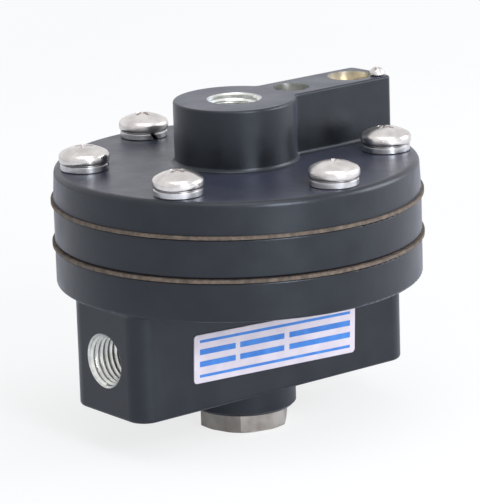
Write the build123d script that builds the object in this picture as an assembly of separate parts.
from build123d import *
import os
from math import asin, cos, pi, radians, sin

# Pneumatic volume booster, in millimetres.
# The origin is the centre of the bottom plug's flat face and +Z is the stack's axis.
# The supply port faces -X, the output port and the cover's arm point to +X, and the
# data plate is on the -Y face.

# Heights of the stacked pieces, from the bottom up
hex_height = 4.7
foot_height = 5.7
block_height = 27.3
flange_height = 9.7
diaphragm_thickness = 0.8
ring_height = 9.7
cover_height = 7.9
boss_height = 15.2

z_foot = hex_height
z_block = z_foot + foot_height
z_flange = z_block + block_height
z_body_top = z_flange + flange_height
z_ring = z_body_top + diaphragm_thickness
z_ring_top = z_ring + ring_height
z_cover = z_ring_top + diaphragm_thickness
z_cover_top = z_cover + cover_height
z_arm_top = z_cover_top + boss_height

# Round castings
flange_radius = 45.0
cover_draw_in = 0.4
diaphragm_overhang = 0.66
edge_round = 0.7
shoulder_round = 1.5
rim_width = 16.0
foot_inset = 1.0
foot_chamfer = 0.8
boss_radius = 15.0
corner_round = 1.5
root_round = 1.0
top_round = 0.6
past = 1.0

# Port block under the flange
block_inset = 2.8
block_width = 28.0
block_corner = 5.0
block_edge = 1.0
flange_root = 1.4

# Tapered pipe ports, as straight bores at the thread's mean radius
port_radius = 6.3
port_mouth_radius = 6.7
port_chamfer = 0.4
port_thread = 12.0
port_drill_radius = 5.5
port_drill_depth = 15.0
port_rise = 13.6
passage_radius = 4.0
passage_reach = 0.7
signal_hole_radius = 3.0

# Arm on the cover
arm_half_width = 7.6
arm_end_inset = 0.1
cross_radius = 1.5
cross_rise = 2.9
bypass_radius = 1.5
middle_bore_x = 18.0
middle_bore_radius = 4.65
cup_depth = 4.6
cup_height = 3.0
cup_wall = 0.8
end_plug_radius = 2.4
end_plug_length = 3.5
end_plug_recess = 0.5

# Cover screws and washers
screw_count = 6
screw_inset = 7.8
screw_start = 30.0
screw_radius = 3.175
screw_length = 28.0
screw_clearance = 0.225
head_radius = 6.2
head_height = 4.4
head_side = 2.0
recess_span = 6.6
recess_width = 1.5
recess_depth = 2.2
recess_taper = 14.0
recess_turn = 47.0
washer_radius = 5.9
washer_height = 1.6
washer_split = 1.1
split_slant = 35.0
split_turn = 200.0
tap_clearance = 0.04
tap_extra = 0.6

# Bore in the body, from the plug up to the diaphragm
thread_clearance = 0.05
plug_radius = 9.5
plug_length = 8.3
supply_chamber_radius = 9.0
web_rise = 12.1
web_thickness = 4.5
output_chamber_radius = 10.0
recess_depth_body = 3.5
recess_depth_cover = 4.2
nut_pocket_radius = 8.0
nut_pocket_depth = 2.1

# Bottom plug
hex_across_flats = 20.6
hex_turn = -12.7
hex_chamfer = 1.3
pocket_wall = 2.2
pocket_width = 2.4
pocket_depth = 6.0
guide_depth = 8.6
plug_groove_rise = 2.2
plug_groove_width = 1.4
plug_ring_section = 0.6
plug_ring_clearance = 0.05
tail_groove_drop = 2.6
tail_groove_width = 1.4
tail_ring_section = 0.65

# Poppet
tail_radius = 2.2
tail_gap = 2.2
running_clearance = 0.05
poppet_radius = 6.8
poppet_lip = 0.6
poppet_plate = 2.0
poppet_lip_height = 1.0
supply_disc_height = 1.4
stem_radius = 1.5
stem_cup_radius = 3.0
stem_cup_height = 1.0
exhaust_pad_height = 1.0
exhaust_drop = 9.4
seat_outer_radius = 6.0
seat_inner_radius = 4.5
seat_lip = 0.6
seat_lip_drop = 0.5
seat_flange_radius = 7.0
seat_flange_height = 1.0

# Poppet spring
spring_wire = 0.4
spring_inset = 1.3
spring_turns = 4.5

# Diaphragm stack
plate_gap = 9.0
plate_thickness = 1.5
plate_lip = 0.5
spool_inset = 1.0
spool_flange_height = 1.5
spool_neck_radius = 7.0
spool_hole_radius = 1.5
hub_radius = 3.2
hub_fit = 0.05
hub_bore_radius = 1.6
hub_bore_overrun = 0.25
hub_hole_radius = 1.2
hub_shoulder_radius = 6.0
hub_shoulder_height = 2.0
nozzle_lip = 0.7
nozzle_cone = 1.6
hub_washer_radius = 5.2
hub_washer_height = 0.6
nut_across_flats = 9.0
nut_height = 2.6
thread_proud = 0.4
bulge_height = 2.2
bulge_inner_gap = 0.8
bulge_outer_gap = 0.8

# Exhaust vents at the back of the ring, between its screws
vent_radius = 2.0
vent_angles = (52.0, 60.0, 68.0, 112.0, 120.0, 128.0)

# Bypass needle
needle_inset = 8.5
needle_bore_radius = 5.4
needle_bore_depth = 7.0
needle_neck_bore = 3.5
needle_thread_height = 3.0
needle_thread_drop = 2.0
needle_slot_width = 1.3
needle_slot_depth = 1.3
needle_clearance = 0.05
needle_ring_gap = 1.0
needle_ring_section = 0.55
needle_groove_width = 1.2
needle_tip_length = 3.2
needle_tip_end_radius = 0.5
needle_stem_radius = 1.9
needle_collar_gap = 0.4
needle_seat_rise = 0.6
needle_slot_turn = 25.0

# Small screw that stops the needle from being backed out
stop_screw_angle = -44.0
stop_screw_distance = 7.05
stop_screw_radius = 1.0
stop_screw_length = 5.0
stop_head_radius = 1.85
stop_head_height = 2.2
stop_slot_width = 0.5
stop_slot_depth = 0.6
stop_slot_turn = 60.0

# Data plate on the front face
plate_length = 50.5
plate_height = 12.0
plate_depth = 0.3
plate_corner = 0.8
plate_shift = -0.7
plate_rise = 12.3
plate_tilt = 2.4

# Radii and places that follow from the sizes above
cover_radius = flange_radius - cover_draw_in
diaphragm_radius = flange_radius + diaphragm_overhang
chamber_radius = flange_radius - rim_width
screw_circle = flange_radius - screw_inset
hole_radius = screw_radius + screw_clearance
port_span = 2 * (flange_radius - block_inset)
port_height = z_block + port_rise
arm_end = cover_radius - arm_end_inset
needle_x = flange_radius - needle_inset
foot_radius = block_width / 2 - foot_inset
pocket_outer_radius = plug_radius - pocket_wall
pocket_inner_radius = pocket_outer_radius - pocket_width
spring_radius = pocket_outer_radius - spring_inset
plate_radius = chamber_radius - plate_gap
spool_flange_radius = plate_radius - spool_inset

# Heights that follow from the sizes above
web_bottom = z_block + web_rise
web_top = web_bottom + web_thickness
plug_top = z_foot + plug_length
pocket_floor = plug_top - pocket_depth
guide_floor = plug_top - guide_depth
plug_groove_height = z_foot + plug_groove_rise
tail_groove_height = plug_top - tail_groove_drop
tail_bottom = guide_floor + tail_gap
seat_face = web_bottom - seat_lip_drop
poppet_bottom = seat_face - supply_disc_height - poppet_plate
exhaust_face = z_body_top - exhaust_drop
ring_middle = (z_ring + z_ring_top) / 2
hub_bore_end = ring_middle + hub_hole_radius + hub_bore_overrun
cross_height = z_cover_top + cross_rise
needle_ring_height = cross_height + cross_radius + needle_ring_gap


def rod(radius, bottom, top, x=0.0, y=0.0):
    """Upright cylinder between two heights."""
    return extrude(Plane((x, y, bottom)) * Circle(radius), amount=top - bottom)


def lathe(section):
    """Solid turned about the Z axis from (radius, height) corners."""
    outline = Polyline([(r, 0, z) for r, z in section], close=True)
    return revolve(make_face(outline), Axis.Z)


def drilled(start, end, radius):
    """Cylinder from one point to another, for slanted and sideways holes."""
    start = Vector(*start)
    along = Vector(*end) - start
    return extrude(Plane(origin=start, z_dir=along) * Circle(radius), amount=along.length)


def screw_places():
    """Centres of the cover screws on their circle."""
    step = 360 / screw_count
    angles = [radians(screw_start + step * k) for k in range(screw_count)]
    return [(screw_circle * cos(a), screw_circle * sin(a)) for a in angles]


def screw_holes(radius, bottom, top):
    """One hole for each cover screw."""
    return [rod(radius, bottom, top, x, y) for x, y in screw_places()]


def pipe_port(mouth, inward):
    """Chamfered bore of a pipe port, from its mouth along the inward direction."""
    plane = Plane(origin=Vector(*mouth), z_dir=Vector(*inward))
    thread = extrude(plane * Circle(port_radius), amount=port_thread)
    drill = extrude(plane * Circle(port_drill_radius), amount=port_drill_depth)
    cone = Cone(port_mouth_radius, port_radius, port_chamfer, align=(Align.CENTER, Align.CENTER, Align.MIN))
    return thread + drill + plane.location * cone


def edges_at(solid, height, within=None, beyond=0.0):
    """Edges that lie flat at a height, between two distances from the axis."""
    found = []
    for edge in solid.edges().filter_by_position(Axis.Z, height - 1e-4, height + 1e-4):
        middle = edge @ 0.5
        distance = (middle.X ** 2 + middle.Y ** 2) ** 0.5
        if distance > beyond and (within is None or distance < within):
            found.append(edge)
    return found


def body_casting():
    """Flange, port block and foot in one casting, with its chambers and passages."""
    flange = rod(flange_radius, z_flange, z_body_top)
    flange = fillet(edges_at(flange, z_flange) + edges_at(flange, z_body_top), edge_round)
    outline = RectangleRounded(port_span, block_width, block_corner)
    block = extrude(Plane((0, 0, z_block)) * outline, amount=block_height + flange_height / 2)
    block = fillet(edges_at(block, z_block), block_edge)
    foot = rod(foot_radius, z_foot, z_block + block_height / 2)
    foot = chamfer(edges_at(foot, z_foot), foot_chamfer)
    body = flange + block
    body = fillet(edges_at(body, z_flange, within=flange_radius - 2 * edge_round), flange_root)
    body += foot

    recess_floor = z_body_top - recess_depth_body
    body -= rod(plug_radius + thread_clearance, z_foot, plug_top)
    body -= rod(supply_chamber_radius, plug_top, web_bottom)
    body -= rod(seat_outer_radius, web_bottom, web_top)
    body -= rod(output_chamber_radius, web_top, recess_floor)
    body -= rod(chamber_radius, recess_floor, z_body_top)

    half = port_span / 2
    inner = half - port_drill_depth + passage_radius / 2
    body -= pipe_port((-half, 0, port_height), (1, 0, 0))
    body -= pipe_port((half, 0, port_height), (-1, 0, 0))
    chamber_middle = (plug_top + web_bottom) / 2
    lower_end = (-supply_chamber_radius * passage_reach, 0, chamber_middle)
    upper_end = (output_chamber_radius * passage_reach, 0, web_top + passage_radius)
    body -= drilled((-inner, 0, port_height), lower_end, passage_radius)
    body -= drilled((inner, 0, port_height), upper_end, passage_radius)

    body -= drilled((needle_x, 0, z_body_top), (inner, 0, port_height + passage_radius), bypass_radius)
    screw_tip = z_cover_top + washer_height - screw_length
    for hole in screw_holes(screw_radius + tap_clearance, screw_tip - tap_extra, z_body_top):
        body -= hole
    return body


def spacer_ring():
    """Ring between the diaphragms, vented at the back."""
    ring = rod(flange_radius, z_ring, z_ring_top)
    ring = fillet(edges_at(ring, z_ring) + edges_at(ring, z_ring_top), edge_round)
    ring -= rod(chamber_radius, z_ring, z_ring_top)
    for hole in screw_holes(hole_radius, z_ring, z_ring_top):
        ring -= hole
    ring -= rod(bypass_radius, z_ring, z_ring_top, needle_x)
    for angle in vent_angles:
        outward = (cos(radians(angle)), sin(radians(angle)))
        inside = [(chamber_radius - vent_radius) * c for c in outward]
        outside = [(flange_radius + vent_radius) * c for c in outward]
        ring -= drilled((*inside, ring_middle), (*outside, ring_middle), vent_radius)
    return ring


def arm_and_boss():
    """Raised boss with the arm that carries the bypass needle, as one rounded outline."""
    bar = Pos(cover_radius / 2, 0) * Rectangle(cover_radius, 2 * arm_half_width)
    outline = Circle(boss_radius) + (bar & Circle(arm_end))
    outline = fillet(outline.vertices(), corner_round)
    sink = cover_height / 2
    return extrude(Plane((0, 0, z_cover_top - sink)) * outline, amount=boss_height + sink)


def signal_cover():
    """Round cover casting with its boss, arm and drilled passages."""
    disc = Cone(flange_radius, cover_radius, cover_height, align=(Align.CENTER, Align.CENTER, Align.MIN))
    disc = Pos(0, 0, z_cover) * disc
    disc = fillet(edges_at(disc, z_cover_top), shoulder_round)
    cover = disc + arm_and_boss()
    cover = fillet(edges_at(cover, z_arm_top), top_round)
    cover = fillet(edges_at(cover, z_cover_top, within=needle_x), root_round)

    cover -= rod(chamber_radius, z_cover, z_cover + recess_depth_cover)
    pocket_top = z_cover + recess_depth_cover + nut_pocket_depth
    cover -= rod(nut_pocket_radius, z_cover, pocket_top)
    cover -= rod(signal_hole_radius, pocket_top - past, z_arm_top - port_drill_depth + past)
    cover -= pipe_port((0, 0, z_arm_top), (0, 0, -1))
    for hole in screw_holes(hole_radius, z_cover, z_cover_top):
        cover -= hole

    cover -= rod(middle_bore_radius, cross_height, z_arm_top, middle_bore_x)
    end = (arm_end + past, 0, cross_height)
    cover -= drilled((0, 0, cross_height), end, cross_radius)
    cover -= drilled((arm_end - end_plug_length, 0, cross_height), end, end_plug_radius)
    cover -= rod(needle_bore_radius, z_arm_top - needle_bore_depth, z_arm_top, needle_x)
    cover -= rod(needle_neck_bore, z_cover_top, z_arm_top - needle_bore_depth, needle_x)
    cover -= rod(bypass_radius, z_cover, z_cover_top, needle_x)
    x, y = stop_screw_place()
    thread_end = z_arm_top - stop_screw_length - tap_extra
    cover -= rod(stop_screw_radius + tap_clearance, thread_end, z_arm_top, x, y)
    return cover


def diaphragm(bottom, bulge):
    """Fabric-backed sheet with one moulded roll between its rim and its plates."""
    inner = plate_radius + bulge_inner_gap
    outer = chamber_radius - bulge_outer_gap
    middle = (inner + outer) / 2
    top = bottom + diaphragm_thickness
    hole = hub_radius + hub_fit
    lines = [
        Line((hole, 0, bottom), (inner, 0, bottom)),
        ThreePointArc((inner, 0, bottom), (middle, 0, bottom + bulge), (outer, 0, bottom)),
        Line((outer, 0, bottom), (diaphragm_radius, 0, bottom)),
        Line((diaphragm_radius, 0, bottom), (diaphragm_radius, 0, top)),
        Line((diaphragm_radius, 0, top), (outer, 0, top)),
        ThreePointArc((outer, 0, top), (middle, 0, top + bulge), (inner, 0, top)),
        Line((inner, 0, top), (hole, 0, top)),
        Line((hole, 0, top), (hole, 0, bottom)),
    ]
    sheet = revolve(make_face(lines), Axis.Z)
    for cutter in screw_holes(hole_radius, bottom, top):
        sheet -= cutter
    return sheet - rod(bypass_radius, bottom, top, needle_x)


def pan_head(radius, height, side, bottom):
    """Screw head with a straight side under a round cap."""
    rise = height - side
    cap_radius = (radius ** 2 + rise ** 2) / (2 * rise)
    half_angle = asin(radius / cap_radius) / 2
    cap_middle = (cap_radius * sin(half_angle), 0, bottom + height - cap_radius * (1 - cos(half_angle)))
    top = (0, 0, bottom + height)
    corner = (radius, 0, bottom + side)
    lines = [
        Line((0, 0, bottom), (radius, 0, bottom)),
        Line((radius, 0, bottom), corner),
        ThreePointArc(corner, cap_middle, top),
        Line(top, (0, 0, bottom)),
    ]
    return revolve(make_face(lines), Axis.Z)


def cover_screws():
    """Pan head screws with cross recesses, as one group."""
    bottom = z_cover_top + washer_height
    head = pan_head(head_radius, head_height, head_side, bottom)
    downward = Plane((0, 0, bottom + head_height), x_dir=(1, 0, 0), z_dir=(0, 0, -1))
    for turn in (0, 90):
        slot = Rot(0, 0, turn) * Rectangle(recess_span, recess_width)
        head -= extrude(downward * slot, amount=recess_depth, taper=recess_taper)
    shank = rod(screw_radius, bottom - screw_length, bottom)
    screw = head + chamfer(edges_at(shank, bottom - screw_length), tap_extra)
    turns = [recess_turn * (k + 1) for k in range(screw_count)]
    return [Pos(x, y, 0) * Rot(0, 0, turn) * screw for (x, y), turn in zip(screw_places(), turns)]


def lock_washers():
    """Split lock washers, as one group."""
    washer = rod(washer_radius, z_cover_top, z_cover_top + washer_height)
    washer -= rod(hole_radius, z_cover_top, z_cover_top + washer_height)
    middle = z_cover_top + washer_height / 2
    blade = Box(washer_radius, washer_split, 4 * washer_height)
    washer -= Pos(washer_radius, 0, middle) * Rot(split_slant, 0, 0) * blade
    turns = [split_turn + 360 / screw_count * k for k in range(screw_count)]
    return [Pos(x, y, 0) * Rot(0, 0, turn) * washer for (x, y), turn in zip(screw_places(), turns)]


def bottom_plug():
    """Hex plug that closes the supply chamber and guides the poppet's tail."""
    corner_radius = hex_across_flats / 2 / cos(pi / 6)
    outline = Rot(0, 0, hex_turn) * RegularPolygon(hex_across_flats / 2, 6, major_radius=False)
    head = extrude(outline, amount=hex_height)
    rounding = Cone(
        corner_radius - hex_chamfer,
        corner_radius + hex_height * 2 - hex_chamfer,
        hex_height,
        align=(Align.CENTER, Align.CENTER, Align.MIN),
    )
    plug = (head & rounding) + rod(plug_radius, hex_height, plug_top)
    spring_pocket = rod(pocket_outer_radius, pocket_floor, plug_top)
    plug -= spring_pocket - rod(pocket_inner_radius, pocket_floor, plug_top)
    plug -= rod(tail_radius + running_clearance, guide_floor, plug_top)
    ring_floor = plug_radius - 2 * plug_ring_section - 2 * plug_ring_clearance
    plug -= groove(plug_radius, ring_floor, plug_groove_height, plug_groove_width)
    ring_roof = tail_radius + 2 * tail_ring_section + 2 * running_clearance
    return plug - groove(ring_roof, tail_radius, tail_groove_height, tail_groove_width)


def groove(outer, inner, height, width):
    """Ring-shaped cut about the axis, centred on a height."""
    low = height - width / 2
    high = height + width / 2
    return rod(outer, low, high) - rod(inner, low, high)


def seal_ring(inner, section, height, x=0.0):
    """O-ring given by its hole radius and its section radius."""
    return Pos(x, 0, height) * Torus(inner + section, section)


def poppet_spring():
    """Coil spring between the plug's pocket and the poppet head."""
    bottom = pocket_floor + spring_wire
    height = poppet_bottom - spring_wire - bottom
    path = Pos(0, 0, bottom) * Helix(height / spring_turns, height, spring_radius)
    section = Plane(origin=path @ 0, z_dir=path % 0) * RegularPolygon(spring_wire, 6)
    return sweep(section, path)


def poppet_stem():
    """Turned poppet: tail, head with a cup for the soft disc, stem and top cup."""
    plate_top = poppet_bottom + poppet_plate
    cup_top = exhaust_face - exhaust_pad_height
    return lathe([
        (0, tail_bottom), (tail_radius, tail_bottom), (tail_radius, poppet_bottom),
        (poppet_radius, poppet_bottom), (poppet_radius, plate_top + poppet_lip_height),
        (poppet_radius - poppet_lip, plate_top + poppet_lip_height), (poppet_radius - poppet_lip, plate_top),
        (stem_radius, plate_top), (stem_radius, cup_top - 2 * stem_cup_height),
        (stem_cup_radius, cup_top - stem_cup_height), (stem_cup_radius, cup_top), (0, cup_top),
    ])


def supply_disc():
    """Soft ring held in the poppet head, which closes on the seat."""
    bottom = poppet_bottom + poppet_plate
    top = bottom + supply_disc_height
    return rod(poppet_radius - poppet_lip, bottom, top) - rod(stem_radius, bottom, top)


def supply_seat():
    """Turned seat ring, pressed into the web between the two chambers."""
    return lathe([
        (seat_inner_radius, seat_face), (seat_inner_radius + seat_lip, seat_face),
        (seat_inner_radius + seat_lip, web_bottom), (seat_outer_radius, web_bottom),
        (seat_outer_radius, web_top), (seat_flange_radius, web_top),
        (seat_flange_radius, web_top + seat_flange_height),
        (seat_inner_radius, web_top + seat_flange_height),
    ])


def hub():
    """Turned hub with the exhaust nozzle below and a thread for the nut above."""
    shoulder_top = z_body_top - plate_thickness
    shoulder_bottom = shoulder_top - hub_shoulder_height
    thread_top = z_cover + plate_thickness + hub_washer_height + nut_height + thread_proud
    post = lathe([
        (hub_bore_radius, exhaust_face), (hub_bore_radius + nozzle_lip, exhaust_face),
        (hub_radius, exhaust_face + nozzle_cone), (hub_radius, shoulder_bottom),
        (hub_shoulder_radius, shoulder_bottom), (hub_shoulder_radius, shoulder_top),
        (hub_radius, shoulder_top), (hub_radius, thread_top), (0, thread_top),
        (0, hub_bore_end), (hub_bore_radius, hub_bore_end),
    ])
    return post - cross_holes(hub_hole_radius, hub_radius)


def cross_holes(radius, reach):
    """Two crossing sideways holes at the middle of the spool."""
    far = reach + past
    along_x = drilled((-far, 0, ring_middle), (far, 0, ring_middle), radius)
    return along_x + drilled((0, -far, ring_middle), (0, far, ring_middle), radius)


def spool():
    """Spacer spool that carries both diaphragms and lets the exhaust out."""
    low = z_ring + spool_flange_height
    high = z_ring_top - spool_flange_height
    inner = hub_radius + hub_fit
    body = lathe([
        (inner, z_ring), (spool_flange_radius, z_ring), (spool_flange_radius, low),
        (spool_neck_radius, low), (spool_neck_radius, high), (spool_flange_radius, high),
        (spool_flange_radius, z_ring_top), (inner, z_ring_top),
    ])
    body = fillet(body.edges().filter_by(GeomType.CIRCLE).filter_by(
        lambda e: abs(e.radius - spool_neck_radius) < 1e-4), root_round)
    return body - cross_holes(spool_hole_radius, spool_neck_radius)


def clamp_plate(bottom, lip_side):
    """Round plate that backs a diaphragm, its rim turned away from the sheet."""
    plate = rod(plate_radius, bottom, bottom + plate_thickness)
    face = bottom if lip_side < 0 else bottom + plate_thickness
    sheet_side = bottom + plate_thickness if lip_side < 0 else bottom
    plate = chamfer(edges_at(plate, sheet_side), plate_lip)
    plate = fillet(edges_at(plate, face), plate_lip)
    return plate - rod(hub_radius + hub_fit, bottom, bottom + plate_thickness)


def hub_nut():
    """Hex nut that clamps the stack."""
    bottom = z_cover + plate_thickness + hub_washer_height
    nut = extrude(Plane((0, 0, bottom)) * RegularPolygon(nut_across_flats / 2, 6, major_radius=False),
                  amount=nut_height)
    return nut - rod(hub_radius + hub_fit, bottom, bottom + nut_height)


def hub_washer():
    """Washer under the hub nut."""
    bottom = z_cover + plate_thickness
    top = bottom + hub_washer_height
    return rod(hub_washer_radius, bottom, top) - rod(hub_radius + hub_fit, bottom, top)


def bypass_needle():
    """Slotted needle valve, shown closed on its seat."""
    thread_radius = needle_bore_radius - needle_clearance
    neck_radius = needle_neck_bore - needle_clearance
    thread_top = z_arm_top - needle_thread_drop
    thread_bottom = thread_top - needle_thread_height
    half_groove = needle_groove_width / 2
    groove_radius = neck_radius - 2 * needle_ring_section
    neck_bottom = needle_ring_height - half_groove - needle_collar_gap
    tip_radius = bypass_radius - needle_clearance
    needle = lathe([
        (0, z_cover_top - needle_tip_length), (needle_tip_end_radius, z_cover_top - needle_tip_length),
        (tip_radius, z_cover_top), (needle_stem_radius, z_cover_top + needle_seat_rise),
        (needle_stem_radius, neck_bottom), (neck_radius, neck_bottom),
        (neck_radius, needle_ring_height - half_groove), (groove_radius, needle_ring_height - half_groove),
        (groove_radius, needle_ring_height + half_groove), (neck_radius, needle_ring_height + half_groove),
        (neck_radius, thread_bottom), (thread_radius, thread_bottom),
        (thread_radius, thread_top), (0, thread_top),
    ])
    needle = Pos(needle_x, 0, 0) * needle
    slot = Pos(needle_x, 0, thread_top) * Rot(0, 0, needle_slot_turn) * Box(
        3 * needle_bore_radius, needle_slot_width, 2 * needle_slot_depth)
    return needle - slot


def stop_screw_place():
    """Centre of the stop screw on the arm's end pad."""
    angle = radians(stop_screw_angle)
    return needle_x + stop_screw_distance * cos(angle), stop_screw_distance * sin(angle)


def stop_screw():
    """Small screw whose head laps over the needle's bore."""
    head = pan_head(stop_head_radius, stop_head_height, stop_head_height / 2, z_arm_top)
    slot = Pos(0, 0, z_arm_top + stop_head_height) * Box(
        3 * stop_head_radius, stop_slot_width, 2 * stop_slot_depth)
    screw = head - slot + rod(stop_screw_radius, z_arm_top - stop_screw_length, z_arm_top)
    x, y = stop_screw_place()
    return Pos(x, y, 0) * Rot(0, 0, stop_slot_turn) * screw


def cup_plug():
    """Pressed cup that closes the arm's middle bore, open side up."""
    top = z_arm_top - cup_depth + cup_wall
    bottom = top - cup_height
    cup = rod(middle_bore_radius, bottom, top) - rod(middle_bore_radius - cup_wall, bottom + cup_wall, top)
    return Pos(middle_bore_x, 0, 0) * cup


def end_plug():
    """Pressed plug that closes the drilled passage at the arm's end."""
    start = (arm_end - end_plug_length, 0, cross_height)
    return drilled(start, (arm_end - end_plug_recess, 0, cross_height), end_plug_radius)


def data_plate():
    """Blank plate stuck on the block's front face, a little out of level."""
    centre = (plate_shift, -block_width / 2, z_block + plate_rise)
    front = Plane(origin=centre, x_dir=(1, 0, 0), z_dir=(0, -1, 0))
    outline = Rot(0, 0, -plate_tilt) * RectangleRounded(plate_length, plate_height, plate_corner)
    return extrude(front * outline, amount=plate_depth)


def all_nodes():
    """Every node's name and its solid or group of solids."""
    neck_ring_inner = needle_neck_bore - needle_clearance - 2 * needle_ring_section
    return {
        "body_casting": body_casting(),
        "spacer_ring": spacer_ring(),
        "signal_cover": signal_cover(),
        "lower_diaphragm": diaphragm(z_body_top, bulge_height),
        "upper_diaphragm": diaphragm(z_ring_top, -bulge_height),
        "cover_screws": cover_screws(),
        "lock_washers": lock_washers(),
        "bottom_plug": bottom_plug(),
        "plug_o_ring": seal_ring(plug_radius - 2 * plug_ring_section - plug_ring_clearance,
                                 plug_ring_section, plug_groove_height),
        "tail_o_ring": seal_ring(tail_radius + running_clearance, tail_ring_section, tail_groove_height),
        "poppet_spring": poppet_spring(),
        "poppet_stem": poppet_stem(),
        "supply_disc": supply_disc(),
        "exhaust_pad": rod(stem_cup_radius, exhaust_face - exhaust_pad_height, exhaust_face),
        "supply_seat": supply_seat(),
        "hub": hub(),
        "spool": spool(),
        "lower_plate": clamp_plate(z_body_top - plate_thickness, -1),
        "upper_plate": clamp_plate(z_cover, 1),
        "hub_washer": hub_washer(),
        "hub_nut": hub_nut(),
        "bypass_needle": bypass_needle(),
        "needle_o_ring": seal_ring(neck_ring_inner, needle_ring_section, needle_ring_height, needle_x),
        "stop_screw": stop_screw(),
        "cup_plug": cup_plug(),
        "end_plug": end_plug(),
        "data_plate": data_plate(),
    }


os.makedirs("parts", exist_ok=True)
for name, shape in all_nodes().items():
    solids = shape if isinstance(shape, list) else [shape]
    group = Compound(children=solids) if len(solids) > 1 else solids[0]
    export_step(group, f"parts/{name}.step")
    print(name, len(solids), round(sum(s.volume for s in solids), 2))
